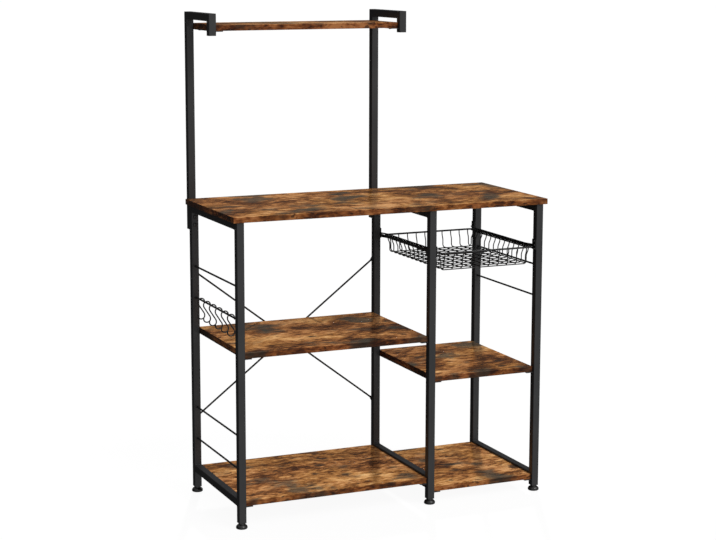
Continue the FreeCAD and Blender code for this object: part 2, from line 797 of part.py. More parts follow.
def make_wall(name, sign, across):
    """Bent wires of one wall, from the rim's inner side down, inwards, down and in to the floor wires.

    There are many of them, so each bend is a mitre, and the turn into the floor is two.
    """
    piece = basket_piece(f"basket_{name}_mesh")
    if across:
        half, depth = HALF_WIDTH, CROSS_Z
        first, pitch, count = CROSS_FIRST, CROSS_PITCH, "dims.cross_wires"
        path_plane, path_lift, row_axis = "XZ_Plane", f"-1 * {first}", "Y_Axis"
    else:
        half, depth = HALF_LENGTH, LONG_Z
        first, pitch, count = LONG_FIRST, LONG_PITCH, "dims.long_wires"
        path_plane, path_lift, row_axis = "YZ_Plane", first, "X_Axis"
    rim_side = f"{sign}1 * ({half} - dims.rim_radius - dims.mesh_radius)"
    wall = f"{sign}1 * ({half} - dims.mesh_lip)"
    path = new_sketch(piece, path_plane, "path", path_lift)
    corners = [
        (rim_side, "dims.mesh_radius", None),
        (rim_side, "-1 * dims.mesh_jog_drop", None),
        (wall, "-1 * dims.mesh_jog_drop - dims.mesh_jog_height", None),
        (wall, f"{depth} + dims.mesh_bend", None),
        (f"{wall} - {sign}1 * dims.mesh_bend", depth, None),
        (f"{wall} - {sign}1 * dims.mesh_turn", depth, None),
    ]
    trace(path, corners, closed=False)
    section = new_sketch(piece, "XY_Plane", "section", "dims.mesh_radius")
    middle = (rim_side, first) if across else (first, rim_side)
    circle(section, *middle, "dims.mesh_radius")
    wire = pipe(piece, "wire", section, path, "Right corner")
    repeat(piece, "row", wire, row_axis, pitch, count)


def guide_plate(label, y_sign):
    """A plate flat on a leg, with a hole for its screw."""
    piece = new_body(label)
    outline = new_sketch(piece, "YZ_Plane", "outline")
    y = f"{y_sign}1 * {MID_Y_TO_LEG}"
    middle = "(dims.guide_plate_height / 2 - dims.guide_plate_drop)"
    rectangle(outline, "dims.guide_plate_width / 2", "dims.guide_plate_height / 2", x=y, y=middle)
    circle(outline, y, "dims.guide_screw_rise", "dims.screw_radius + dims.thread_gap")
    pad(piece, "plate", outline, "dims.guide_plate_thickness")
    return piece


def guide_wire(label, z_sign):
    """A wire from plate to plate, bent in over or under the side of the basket's rim."""
    piece = new_body(label)
    near = "(dims.guide_plate_thickness + dims.guide_radius)"
    far = "dims.basket_side_gap"
    bend = "dims.guide_bend"
    z = f"{z_sign}1 * (dims.rim_radius + dims.guide_gap + dims.guide_radius)"
    end = f"({MID_Y_TO_LEG} + dims.guide_tail)"
    flat = f"({MID_Y_TO_LEG} - dims.guide_flat)"
    inner = f"({MID_Y_TO_LEG} - dims.guide_flat - dims.guide_slope)"
    corners = [
        (near, f"-1 * {end}", None),
        (near, f"-1 * {flat}", bend),
        (far, f"-1 * {inner}", bend),
        (far, inner, bend),
        (near, flat, bend),
        (near, end, None),
    ]
    path = new_sketch(piece, "XY_Plane", "path", z)
    trace(path, corners, closed=False)
    section = new_sketch(piece, "XZ_Plane", "section", end)
    circle(section, near, z, "dims.guide_radius")
    pipe(piece, "wire", section, path)
    return piece


def make_guide(side, x, angle):
    """Two plates and two wires on the legs of one frame, and the screws of the plates."""
    ends = (("front", "-"), ("rear", ""))
    plates = [guide_plate(f"{side}_guide_{name}_plate", sign) for name, sign in ends]
    levels = (("upper", ""), ("lower", "-"))
    wires = [guide_wire(f"{side}_guide_{name}_wire", sign) for name, sign in levels]
    for piece in plates + wires:
        place(piece, x, MID_Y, RIM_Z, Z_AXIS, angle)
    group(f"{side}_basket_guide", plates + wires)
    screws = []
    for name, y in (("front", FRONT_LEG_Y), ("rear", REAR_LEG_Y)):
        sizes = ("dims.screw_head_radius", "dims.screw_head_height", "dims.screw_head_height / 2")
        screw = fastener(f"{side}_guide_{name}_screw", "dims.screw_radius", "dims.screw_length", *sizes)
        sign = "+" if angle == 0 else "-"
        head = f"{x} {sign} dims.guide_plate_thickness"
        screws.append(place(screw, head, y, GUIDE_SCREW_Z, Y_AXIS, 90 if angle == 0 else -90))
    return screws


def make_basket():
    make_rim()
    make_floor()
    make_wall("left", "-", across=True)
    make_wall("right", "", across=True)
    make_wall("front", "-", across=False)
    make_wall("rear", "", across=False)
    screws = make_guide("left", f"({MIDDLE_X} + dims.tube_size / 2)", 0)
    screws += make_guide("right", f"({RIGHT_X} - dims.tube_size / 2)", 180)
    group("guide_screws", screws)


# S-hooks on the second rung of the left frame.


def hook(label):
    """A wire hook about the middle of its rung: one bowl over the rung, one bowl open at the other side."""
    piece = new_body(label)
    centre = "(dims.rung_radius + dims.hook_gap + dims.hook_wire_radius - dims.hook_bowl)"
    low = f"({centre} - dims.hook_spread)"
    out = "dims.hook_bowl"
    back = "-1 * dims.hook_bowl"
    round_bowl = "dims.hook_bowl - dims.hook_crown / 2"
    tip = f"{centre} - dims.hook_tip"
    corners = [
        (out, tip, None),
        (out, f"{centre} + dims.hook_bowl", round_bowl),
        (back, f"{centre} + dims.hook_bowl", round_bowl),
        (back, f"{centre} - dims.hook_neck", "dims.hook_neck_bend"),
        (out, f"{low} + dims.hook_neck", "dims.hook_neck_bend"),
        (out, f"{low} - dims.hook_bowl", round_bowl),
        (back, f"{low} - dims.hook_bowl", round_bowl),
        (back, f"{low} + dims.hook_tip", None),
    ]
    path = new_sketch(piece, "XZ_Plane", "path")
    trace(path, corners, closed=False)
    section = new_sketch(piece, "XY_Plane", "section", tip)
    circle(section, out, "0", "dims.hook_wire_radius")
    pipe(piece, "wire", section, path)
    return keep(piece)


def make_hooks():
    for i in range(HOOKS):
        y = f"{LEG_FRONT} + dims.tube_size + dims.hook_first + {i} * dims.hook_pitch"
        place(hook(f"hook_{i + 1}"), LEFT_X, y, HOOK_RUNG_Z)


make_frames()
make_rungs()
make_boards()
make_hutch()
make_brace()
make_bolts()
make_feet()
make_basket()
make_hooks()
document.recompute()

for item in document.Objects:
    if {"Invalid", "Error"} & set(item.State):
        raise RuntimeError(f"{item.Label} failed: {item.State}")
for item in document.findObjects("PartDesign::Pocket"):
    if item.Shape.Volume >= item.BaseFeature.Shape.Volume:
        raise RuntimeError(f"{item.Label} cuts nothing")
os.makedirs("parts", exist_ok=True)
for piece in nodes:
    if piece.Shape.isNull() or not piece.Shape.isValid():
        raise RuntimeError(f"{piece.Label} has no valid shape")
for piece in nodes:
    piece.Shape.exportStep(f"parts/{piece.Label}.step")
print(f"{len(nodes)} sub-parts written")
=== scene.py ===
import json
import math

import bmesh
import bpy
from mathutils import Matrix, Vector


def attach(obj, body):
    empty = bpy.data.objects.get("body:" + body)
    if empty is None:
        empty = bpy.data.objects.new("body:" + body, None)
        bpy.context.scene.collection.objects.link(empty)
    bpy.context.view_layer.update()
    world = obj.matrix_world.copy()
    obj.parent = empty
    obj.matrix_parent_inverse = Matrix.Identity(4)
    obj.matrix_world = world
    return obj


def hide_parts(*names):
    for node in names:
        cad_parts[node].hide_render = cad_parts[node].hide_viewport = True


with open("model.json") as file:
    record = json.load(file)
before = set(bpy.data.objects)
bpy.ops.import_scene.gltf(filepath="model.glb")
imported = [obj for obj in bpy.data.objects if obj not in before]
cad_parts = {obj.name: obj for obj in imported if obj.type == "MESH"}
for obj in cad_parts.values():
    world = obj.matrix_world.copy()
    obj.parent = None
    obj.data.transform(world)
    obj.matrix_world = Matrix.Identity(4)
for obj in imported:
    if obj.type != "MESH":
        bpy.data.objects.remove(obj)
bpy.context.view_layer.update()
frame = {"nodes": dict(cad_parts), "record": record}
scene = bpy.context.scene

# Everything is in metres. X runs to the right, Y to the rear and Z up, with the floor at Z = 0.
# Tables in millimetres say so, and their numbers are multiplied by MM where they are used.

MM = 0.001

# Places of the CAD model that several pieces share.

FRAME_X = {"left": -430 * MM, "middle": 110 * MM, "right": 430 * MM}
LEG_Y = {"front": -185 * MM, "rear": 170 * MM}
HALF_TUBE = 10 * MM
FRONT_LEG_REAR_FACE, REAR_LEG_FRONT_FACE = -175 * MM, 160 * MM
TOP_RAIL_UNDERSIDE = 780 * MM
BOTTOM_RAIL_UNDERSIDE = {"left": 58 * MM, "middle": 58 * MM, "right": 32 * MM}
ROD_LOW, ROD_HIGH = 204.5 * MM, 618 * MM

# The flat bars under the boards, in millimetres: the frames' faces at both sides of a bay, and the
# undersides of its two pairs of bars. The raised shelf has one pair more, over the left bay.

BAYS = (((-420, 100), (445.5, 56)), ((120, 420), (334.5, 30)))
RAISED_SIDES, RAISED_BAR_UNDERSIDE = (-420, 100), 1268


# Camera, lights and floor.

IMAGE_WIDTH = 716
FOCAL_PIXELS = 1783.33
SENSOR_WIDTH = 36
CAMERA_SHIFT = (0.03, -0.03)
CAMERA_PLACE = (-1.9523, -4.3564, 1.4648)
CAMERA_YAW, CAMERA_PITCH = 0.4051, 0.1635

# How the light of the surroundings depends on its direction: axis, a range along it, and the
# strengths at the ends of that range. The four are added up.
WORLD_LIGHT = (
    ("Z", 0.2, 0.9, 0.02, 0.45),
    ("Y", -0.95, 0.1, 0.62, 0.0),
    ("Y", 0.3, 1.0, 0.0, 0.03),
    ("X", 0.45, 1.0, 0.0, 0.20),
)
WHITE = (1, 1, 1, 1)


def make_camera():
    """A camera at the photograph's viewing angle, fitted to the edges of the rack in it."""
    data = bpy.data.cameras.new("camera")
    data.sensor_width = SENSOR_WIDTH
    data.lens = FOCAL_PIXELS * SENSOR_WIDTH / IMAGE_WIDTH
    data.shift_x, data.shift_y = CAMERA_SHIFT
    camera = bpy.data.objects.new("camera", data)
    scene.collection.objects.link(camera)
    level = math.cos(CAMERA_PITCH)
    ahead = Vector((
        math.sin(CAMERA_YAW) * level,
        math.cos(CAMERA_YAW) * level,
        -math.sin(CAMERA_PITCH),
    ))
    camera.location = CAMERA_PLACE
    camera.rotation_euler = ahead.to_track_quat("-Z", "Y").to_euler()
    scene.camera = camera


def smooth_range(nodes, low, high, to_low, to_high):
    """A node that spreads its value smoothly from low..high to to_low..to_high."""
    node = nodes.new("ShaderNodeMapRange")
    node.interpolation_type = "SMOOTHSTEP"
    names = ("From Min", "From Max", "To Min", "To Max")
    for name, number in zip(names, (low, high, to_low, to_high)):
        node.inputs[name].default_value = number
    return node


def make_world():
    """Soft light, strong from the front and above, and a white backdrop for the camera alone."""
    world = bpy.data.worlds.new("studio")
    scene.world = world
    world.use_nodes = True
    nodes, links = world.node_tree.nodes, world.node_tree.links
    nodes.clear()
    direction = nodes.new("ShaderNodeSeparateXYZ")
    place = nodes.new("ShaderNodeTexCoord").outputs["Generated"]
    links.new(place, direction.inputs["Vector"])
    strength = None
    for axis, *limits in WORLD_LIGHT:
        spread = smooth_range(nodes, *limits)
        links.new(direction.outputs[axis], spread.inputs["Value"])
        if strength is None:
            strength = spread.outputs["Result"]
        else:
            total = nodes.new("ShaderNodeMath")
            total.operation = "ADD"
            links.new(strength, total.inputs[0])
            links.new(spread.outputs["Result"], total.inputs[1])
            strength = total.outputs["Value"]
    ambient = nodes.new("ShaderNodeBackground")
    ambient.inputs["Color"].default_value = WHITE
    links.new(strength, ambient.inputs["Strength"])
    backdrop = nodes.new("ShaderNodeBackground")
    backdrop.inputs["Color"].default_value = WHITE
    light_path = nodes.new("ShaderNodeLightPath")
    mix = nodes.new("ShaderNodeMixShader")
    links.new(light_path.outputs["Is Camera Ray"], mix.inputs["Fac"])
    links.new(ambient.outputs["Background"], mix.inputs[1])
    links.new(backdrop.outputs["Background"], mix.inputs[2])
    output = nodes.new("ShaderNodeOutputWorld")
    links.new(mix.outputs["Shader"], output.inputs["Surface"])


def sun(name, azimuth, elevation, softness, strength, glints=True):
    """A sun with angles in degrees. Azimuth 0 shines from the front and 90 from the right."""
    data = bpy.data.lights.new(name, "SUN")
    data.angle = math.radians(softness)
    data.energy = strength
    light = bpy.data.objects.new(name, data)
    light.visible_glossy = glints
    scene.collection.objects.link(light)
    turn, rise = math.radians(azimuth), math.radians(elevation)
    level = math.cos(rise)
    source = Vector((math.sin(turn) * level, -math.cos(turn) * level, math.sin(rise)))
    light.rotation_euler = (-source).to_track_quat("-Z", "Y").to_euler()


def make_lights():
    """A wide key light, and a narrow low one from behind that draws the legs on the boards."""
    sun("key", azimuth=25, elevation=41, softness=35, strength=1.6)
    sun("back", azimuth=155.5, elevation=17, softness=3, strength=5.2, glints=False)


def make_floor():
    """A wide floor that sends no light back to the rack."""
    bm = bmesh.new()
    bmesh.ops.create_grid(bm, x_segments=1, y_segments=1, size=200)
    mesh = bpy.data.meshes.new("floor")
    bm.to_mesh(mesh)
    bm.free()
    mesh.materials.append(floor_finish())
    floor = bpy.data.objects.new("floor", mesh)
    scene.collection.objects.link(floor)
    floor.visible_diffuse = False
    floor.visible_glossy = False


# Materials.

# Colours of the boards' print by tone, from dark to light, in its redder and its yellower areas.
RED_WOOD = (
    (0.425, (0.034, 0.011, 0.004)),
    (0.467, (0.115, 0.039, 0.011)),
    (0.50, (0.250, 0.095, 0.026)),
    (0.533, (0.440, 0.185, 0.060)),
    (0.585, (0.700, 0.370, 0.152)),
)
GOLD_WOOD = (
    (0.425, (0.058, 0.021, 0.006)),
    (0.467, (0.185, 0.069, 0.017)),
    (0.50, (0.340, 0.143, 0.037)),
    (0.533, (0.530, 0.248, 0.078)),
    (0.585, (0.760, 0.440, 0.182)),
)
SMOKE_COLOUR = (0.052, 0.048, 0.036)
KNOT_COLOUR = (0.030, 0.020, 0.014)
FLECK_COLOUR = (0.042, 0.020, 0.009)
EDGE_SHADE = (0.50, 0.37, 0.30)

# Where each board lies in the endless print.
BOARD_OFFSETS = {
    "worktop": (3.1, 0.4, 0.0),
    "left_middle_shelf": (7.3, 1.9, 0.0),
    "left_bottom_shelf": (12.2, 5.3, 0.0),
    "right_middle_shelf": (17.9, 3.3, 0.0),
    "right_bottom_shelf": (21.7, 7.1, 0.0),
    "hutch_shelf": (26.4, 9.7, 0.0),
}


class Finish:
    """A node material: a Principled shader whose inputs come from textures in object space."""

    def __init__(self, name):
        self.material = bpy.data.materials.new(name)
        self.material.use_nodes = True
        self.nodes = self.material.node_tree.nodes
        self.links = self.material.node_tree.links
        self.shader = self.nodes["Principled BSDF"]
        self.place = self.nodes.new("ShaderNodeTexCoord").outputs["Object"]

    def put(self, socket, value):
        """Link an output to a socket, or set the socket to a number or colour."""
        if isinstance(value, bpy.types.NodeSocket):
            self.links.new(value, socket)
        else:
            socket.default_value = value

    def math(self, operation, *values):
        node = self.nodes.new("ShaderNodeMath")
        node.operation = operation
        for socket, value in zip(node.inputs, values):
            self.put(socket, value)
        return node.outputs["Value"]

    def vector(self, operation, *values):
        node = self.nodes.new("ShaderNodeVectorMath")
        node.operation = operation
        for socket, value in zip(node.inputs, values):
            self.put(socket, value)
        return node.outputs["Vector"]

    def split(self, vector):
        """The outputs X, Y and Z of a vector."""
        node = self.nodes.new("ShaderNodeSeparateXYZ")
        self.put(node.inputs["Vector"], vector)
        return node.outputs

    def noise(self, place, scale, detail=2.0, roughness=0.5, distortion=0.0, output="Fac"):
        """Noise with its own number of features per metre along each axis."""
        node = self.nodes.new("ShaderNodeTexNoise")
        self.put(node.inputs["Vector"], self.vector("MULTIPLY", place, scale))
        node.inputs["Scale"].default_value = 1.0
        node.inputs["Detail"].default_value = detail
        node.inputs["Roughness"].default_value = roughness
        node.inputs["Distortion"].default_value = distortion
        return node.outputs[output]

    def between(self, value, low, high, to_low=0.0, to_high=1.0):
        """The value spread smoothly from low..high to to_low..to_high."""
        node = smooth_range(self.nodes, low, high, to_low, to_high)
        self.put(node.inputs["Value"], value)
        return node.outputs["Result"]

    def ramp(self, factor, stops):
        node = self.nodes.new("ShaderNodeValToRGB")
        bands = node.color_ramp.elements
        while len(bands) < len(stops):
            bands.new(0.5)
        for band, (position, colour) in zip(bands, stops):
            band.position = position
            band.color = (*colour, 1)
        self.put(node.inputs["Fac"], factor)
        return node.outputs["Color"]

    def mix(self, factor, first, second, blend="MIX"):
        """Two colours mixed, each of them an output or three numbers."""
        node = self.nodes.new("ShaderNodeMix")
        node.data_type = "RGBA"
        node.blend_type = blend
        self.put(node.inputs["Factor"], factor)
        for socket, value in zip((node.inputs[6], node.inputs[7]), (first, second)):
            self.put(socket, value if isinstance(value, bpy.types.NodeSocket) else (*value, 1))
        return node.outputs[2]

    def bump(self, height, depth):
        node = self.nodes.new("ShaderNodeBump")
        node.inputs["Distance"].default_value = depth
        self.put(node.inputs["Height"], height)
        self.put(self.shader.inputs["Normal"], node.outputs["Normal"])


def print_place(finish, normal, offset):
    """Places in the print. On the ends of a board, the print runs along the end instead."""
    on_end = finish.math("GREATER_THAN", finish.math("ABSOLUTE", normal["X"]), 0.75)
    parts = finish.split(finish.place)
    turned = finish.nodes.new("ShaderNodeCombineXYZ")
    for letter, source in zip("XYZ", "YXZ"):
        finish.put(turned.inputs[letter], parts[source])
    chosen = finish.nodes.new("ShaderNodeMix")
    chosen.data_type = "VECTOR"
    finish.put(chosen.inputs["Factor"], on_end)
    finish.put(chosen.inputs[4], finish.place)
    finish.put(chosen.inputs[5], turned.outputs["Vector"])
    return finish.vector("ADD", chosen.outputs[1], offset)


def board_finish(name, offset):
    """Rustic brown laminate: streaks along the board, dark smoky patches and a few knots."""
    finish = Finish(name)
    normal = finish.split(finish.nodes.new("ShaderNodeNewGeometry").outputs["Normal"])
    place = print_place(finish, normal, offset)
    sway = finish.noise(place, (5.0, 8.0, 8.0), detail=4, output="Color")
    sway = finish.vector("SUBTRACT", sway, (0.5, 0.5, 0.5))
    sway = finish.vector("MULTIPLY", sway, (0.06, 0.06, 0.03))
    grained = finish.vector("ADD", place, sway)

    # The tone, from noises that are ever finer across the board.
    broad = finish.noise(grained, (6, 9, 9), detail=5, roughness=0.60, distortion=0.5)
    streaks = finish.noise(grained, (20, 44, 44), detail=4, roughness=0.62)
    fine = finish.noise(grained, (48, 125, 125), detail=4, roughness=0.65)
    grain = finish.noise(grained, (7, 330, 330), detail=4, roughness=0.62)
    tone = finish.math("MULTIPLY", streaks, 0.20)
    for layer, share in ((broad, 0.36), (fine, 0.30), (grain, 0.14)):
        tone = finish.math("MULTIPLY_ADD", layer, share, tone)
    hue = finish.between(finish.noise(grained, (5, 8, 8), detail=4, roughness=0.6), 0.45, 0.60)
    wood = finish.mix(hue, finish.ramp(tone, RED_WOOD), finish.ramp(tone, GOLD_WOOD))

    # Smoky patches with a broken edge, through which some grain shows.
    smoke = finish.noise(grained, (8, 10, 10), detail=4, roughness=0.5, distortion=0.2)
    smoke = finish.math("MULTIPLY_ADD", finish.math("SUBTRACT", fine, 0.5), 0.22, smoke)
    patch = finish.between(smoke, 0.535, 0.65)
    cover = finish.between(grain, 0.35, 0.65, 0.96, 0.74)
    wood = finish.mix(finish.math("MULTIPLY", patch, cover), wood, SMOKE_COLOUR)

    # Knots and small dark flecks.
    knots = finish.nodes.new("ShaderNodeTexVoronoi")
    finish.put(knots.inputs["Vector"], finish.vector("MULTIPLY", grained, (9.0, 15.0, 15.0)))
    knots.inputs["Scale"].default_value = 1.0
    from_knot = finish.math("MULTIPLY_ADD", streaks, 0.30, knots.outputs["Distance"])
    wood = finish.mix(finish.between(from_knot, 0.23, 0.36, 0.88, 0.0), wood, KNOT_COLOUR)
    flecks = finish.noise(grained, (34, 75, 75), detail=3, roughness=0.55)
    wood = finish.mix(finish.between(flecks, 0.61, 0.66, 0.0, 0.80), wood, FLECK_COLOUR)

    # The edges of a board are darker than its faces.
    edge = finish.math("LESS_THAN", finish.math("ABSOLUTE", normal["Z"]), 0.5)
    wood = finish.mix(edge, wood, EDGE_SHADE, "MULTIPLY")
    finish.put(finish.shader.inputs["Base Color"], wood)
    finish.put(finish.shader.inputs["Roughness"], finish.between(grain, 0.3, 0.7, 0.20, 0.30))
    finish.shader.inputs["Specular IOR Level"].default_value = 0.14
    finish.bump(finish.math("MULTIPLY_ADD", flecks, 0.4, grain), 0.00005)
    return finish.material


def coated_finish(name, dark, pale, roughness, grit, depth):
    """A near-black surface with a fine grit, grit features per metre, slightly uneven gloss, and
    painted highlights: lighter specks in its colour where the grit stands high.
    """
    finish = Finish(name)
    cloud = finish.noise(finish.place, (9, 9, 9), detail=3)
    speck = finish.noise(finish.place, (grit, grit, grit), detail=2, roughness=0.6)
    colour = finish.mix(finish.between(cloud, 0.35, 0.65), dark, pale)
    # Painted highlight: lighter specks mixed into the colour stand in for glints on the grit.
    painted_glint = tuple(2.2 * part for part in pale)
    colour = finish.mix(finish.between(speck, 0.58, 0.72, 0.0, 0.35), colour, painted_glint)
    finish.put(finish.shader.inputs["Base Color"], colour)
    shine = roughness
    for layer, share in ((speck, 0.18), (cloud, 0.12)):
        uneven = finish.math("SUBTRACT", layer, 0.5)
        shine = finish.math("MULTIPLY_ADD", uneven, share, shine)
    finish.put(finish.shader.inputs["Roughness"], shine)
    finish.bump(speck, depth)
    return finish.material


def floor_finish():
    """A pale floor that is mostly lit from within, so that shadows on it stay faint."""
    finish = Finish("pale_floor")
    cloud = finish.between(finish.noise(finish.place, (1.2, 1.2, 1.2), detail=3), 0.3, 0.7)
    colour = finish.mix(cloud, (0.060, 0.060, 0.060), (0.064, 0.064, 0.064))
    finish.put(finish.shader.inputs["Base Color"], colour)
    finish.shader.inputs["Roughness"].default_value = 0.75
    finish.shader.inputs["Specular IOR Level"].default_value = 0.0
    finish.shader.inputs["Emission Color"].default_value = WHITE
    finish.shader.inputs["Emission Strength"].default_value = 0.94
    return finish.material


STEEL = coated_finish(
    "frame_powder_coat", (0.013, 0.013, 0.014), (0.018, 0.018, 0.019), 0.42, 700, 0.00005)
WIRE = coated_finish(
    "wire_powder_coat", (0.004, 0.004, 0.004), (0.006, 0.006, 0.006), 0.42, 1100, 0.00002)
HARDWARE = coated_finish(
    "black_oxide", (0.015, 0.015, 0.016), (0.026, 0.025, 0.025), 0.30, 1500, 0.00001)
PLASTIC = coated_finish(
    "moulded_plastic", (0.009, 0.009, 0.009), (0.013, 0.013, 0.013), 0.30, 1900, 0.000012)


# Mesh tools.


def add_piece(bm, name, material, body, replaces=(), crease=35):
    """Turn a bmesh into a smooth-shaded piece that rides on a body."""
    bmesh.ops.recalc_face_normals(bm, faces=bm.faces)
    mesh = bpy.data.meshes.new(name)
    bm.to_mesh(mesh)
    bm.free()
    mesh.polygons.foreach_set("use_smooth", [True] * len(mesh.polygons))
    mesh.set_sharp_from_angle(angle=math.radians(crease))
    mesh.materials.append(material)
    piece = bpy.data.objects.new(name, mesh)
    scene.collection.objects.link(piece)
    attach(piece, body)
    if replaces:
        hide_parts(*replaces)


def skin(bm, rings, closed=False):
    """Quads between rings of vertices, with a cap at each end unless the last meets the first."""
    pairs = list(zip(rings, rings[1:]))
    if closed:
        pairs.append((rings[-1], rings[0]))
    for lower, upper in pairs:
        count = len(lower)
        for k in range(count):
            after = (k + 1) % count
            bm.faces.new((lower[k], lower[after], upper[after], upper[k]))
    if not closed:
        bm.faces.new(rings[0][::-1])
        bm.faces.new(rings[-1])


def lathe(bm, profile, sides, spot):
    """Turn (height, radius) pairs about the Z axis of spot. A radius may depend on the angle."""
    rings = []
    for height, radius in profile:
        ring = []
        for k in range(sides):
            angle = 2 * math.pi * k / sides
            reach = radius(angle) if callable(radius) else radius
            corner = Vector((reach * math.cos(angle), reach * math.sin(angle), height))
            ring.append(bm.verts.new(spot @ corner))
        rings.append(ring)
    skin(bm, rings)


def wire(bm, points, radius, sides=10, closed=False):
    """A round wire along points, with domed ends unless it is closed on itself.

    The radius may depend on the point's number.
    """
    count = len(points)
    size = radius if callable(radius) else lambda i: radius
    dome = [(math.sin(a), math.cos(a)) for a in map(math.radians, (75, 50, 25))]
    rings = []
    side = None
    for i, point in enumerate(points):
        before = points[i - 1] if closed or i else point
        after = points[(i + 1) % count] if closed or i < count - 1 else point
        ahead = (after - before).normalized()
        side = ahead.orthogonal() if side is None else side - ahead * side.dot(ahead)
        side.normalize()
        up = ahead.cross(side)
        # Rings at this point: their place along the wire and their width, both in radii.
        places = [(0.0, 1.0)]
        if not closed and i == 0:
            places = [(-reach, narrow) for reach, narrow in dome] + places
        elif not closed and i == count - 1:
            places += [(reach, narrow) for reach, narrow in reversed(dome)]
        for reach, narrow in places:
            middle = point + ahead * (reach * size(i))
            ring = []
            for k in range(sides):
                angle = 2 * math.pi * k / sides
                outward = side * math.cos(angle) + up * math.sin(angle)
                ring.append(bm.verts.new(middle + outward * size(i) * narrow))
            rings.append(ring)
    skin(bm, rings, closed)


def bent(corners, radii, steps=7):
    """Points along straight runs, with an arc of the given radius at each inner corner."""
    points = [corners[0]]
    for before, corner, after, radius in zip(corners, corners[1:], corners[2:], radii):
        back = (before - corner).normalized()
        ahead = (after - corner).normalized()
        half = back.angle(ahead) / 2
        centre = corner + (back + ahead).normalized() * (radius / math.sin(half))
        start = corner + back * (radius / math.tan(half)) - centre
        end = corner + ahead * (radius / math.tan(half)) - centre
        for k in range(steps + 1):
            points.append(centre + start.slerp(end, k / steps).normalized() * radius)
    return points + [corners[-1]]


def bead(bm, start, end, radius):
    """A weld bead: a low round ridge with the ripples that the torch leaves."""
    count = max(6, int((end - start).length / (0.55 * MM)))
    points = [start.lerp(end, k / count) for k in range(count + 1)]
    wire(bm, points, lambda i: radius * (1 + 0.13 * math.sin(i * 2.1)), sides=8)


def shift(point, x=0.0, y=0.0, z=0.0):
    return point + Vector((x, y, z))


def aimed(place, direction):
    """A frame at a place with its Z axis along a direction."""
    turn = Vector(direction).to_track_quat("Z", "X")
    return Matrix.Translation(place) @ turn.to_matrix().to_4x4()


# Carried-over CAD nodes.

ROUND_WIRES = ["left_rungs", "left_hook_rung", "right_rungs"]


def paint(names, material):
    for name in names:
        piece = frame["nodes"][name]
        piece.data.materials.clear()
        piece.data.materials.append(material)


def paint_nodes():
    """Give every CAD node the finish of its slot, and the rungs and boards one of their own."""
    slots = {row["node"]: row["material_slot"] for row in frame["record"]["subparts"]}
    finishes = {"frame_steel": STEEL, "wire": WIRE, "hardware": HARDWARE, "plastic": PLASTIC}
    for slot, material in finishes.items():
        paint([name for name, used in slots.items() if used == slot], material)
    paint(ROUND_WIRES, WIRE)
    for name, offset in BOARD_OFFSETS.items():
        paint([name], board_finish(f"{name}_laminate", offset))


# Screws and bolts.


def hexagon(across_flats):
    """The outline of a hexagonal socket, as a radius by angle."""
    return lambda angle: across_flats / 2 / math.cos((angle % (math.pi / 3)) - math.pi / 6)


def cross(length, width):
    """The outline of a cross recess, as a radius by angle."""
    def reach(angle):
        along = max(abs(math.cos(angle)), 1e-6)
        aside = max(abs(math.sin(angle)), 1e-6)
        return max(min(length / along, width / aside), min(length / aside, width / along))
    return reach


SOCKET_BOLT = {
    "shank": 3 * MM, "head": 5.5 * MM, "height": 3.2 * MM,
    "recess": hexagon(4 * MM), "depth": 2.0 * MM,
}
GUIDE_SCREW = {
    "shank": 1.75 * MM, "head": 3.5 * MM, "height": 2 * MM,
    "recess": cross(1.9 * MM, 0.42 * MM), "depth": 1.1 * MM,
}
BOARD_SCREW = {
    "shank": 2 * MM, "head": 4 * MM, "height": 2.2 * MM,
    "recess": cross(2.2 * MM, 0.5 * MM), "depth": 1.2 * MM,
}
HEAD_SIDES = 48


def headed(bm, place, direction, length, shank, head, height, recess, depth):
    """A screw with a plain shank and a domed head, whose seat is at place and top in direction."""
    profile = [(-length, 0.6 * shank), (-length + 0.5 * shank, shank), (0, shank)]
    profile += [(0, head), (0.18 * height, head)]
    for angle in (20, 40, 60, 75):
        turn = math.radians(angle)
        rise, reach = 0.18 + 0.82 * math.sin(turn), 0.42 + 0.58 * math.cos(turn)
        profile.append((rise * height, head * reach))
    profile.append((height, lambda angle: recess(angle) * 1.06))
    profile.append((height - 0.12 * depth, recess))
    profile.append((height - depth, lambda angle: recess(angle) * 0.93))
    lathe(bm, profile, HEAD_SIDES, aimed(place, direction))


BRACKET_BOLT_HEIGHTS = (768 * MM, 746 * MM)
ROD_BOLT_SEAT = 182 * MM
GUIDE_SCREW_SEATS = ((122 * MM, 1), (418 * MM, -1))
GUIDE_SCREW_HEIGHT = 698 * MM


def make_bolts():
    """The bolts of the brackets and of the crossed rods, and the screws of the basket guides."""
    forward, backward = (0, -1, 0), (0, 1, 0)
    bracket = bmesh.new()
    for x in (FRAME_X["left"], FRAME_X["middle"]):
        for z in BRACKET_BOLT_HEIGHTS:
            place = (x, REAR_LEG_FRONT_FACE, z)
            headed(bracket, place, forward, length=32 * MM, **SOCKET_BOLT)
    add_piece(bracket, "bracket_socket_bolts", HARDWARE, "rack", ["hutch_bolts"])
    brace = bmesh.new()
    for x in (FRAME_X["left"], FRAME_X["middle"]):
        for z in (ROD_LOW, ROD_HIGH):
            place = (x, ROD_BOLT_SEAT, z)
            headed(brace, place, backward, length=12 * MM, **SOCKET_BOLT)
    add_piece(brace, "rod_socket_bolts", HARDWARE, "rack", ["brace_bolts"])
    guide = bmesh.new()
    for x, side in GUIDE_SCREW_SEATS:
        for y in LEG_Y.values():
            place = (x, y, GUIDE_SCREW_HEIGHT)
            headed(guide, place, (side, 0, 0), length=9 * MM, **GUIDE_SCREW)
    add_piece(guide, "guide_cross_screws", HARDWARE, "rack", ["guide_screws"])


# In millimetres: how far the board screws stand off the frames, and their places along Y.
SCREW_INSET = 10
SHELF_SCREW_Y, RAISED_SCREW_Y, WORKTOP_SCREW_Y = (-150, 135), (40, 160), (-120, 0, 110)


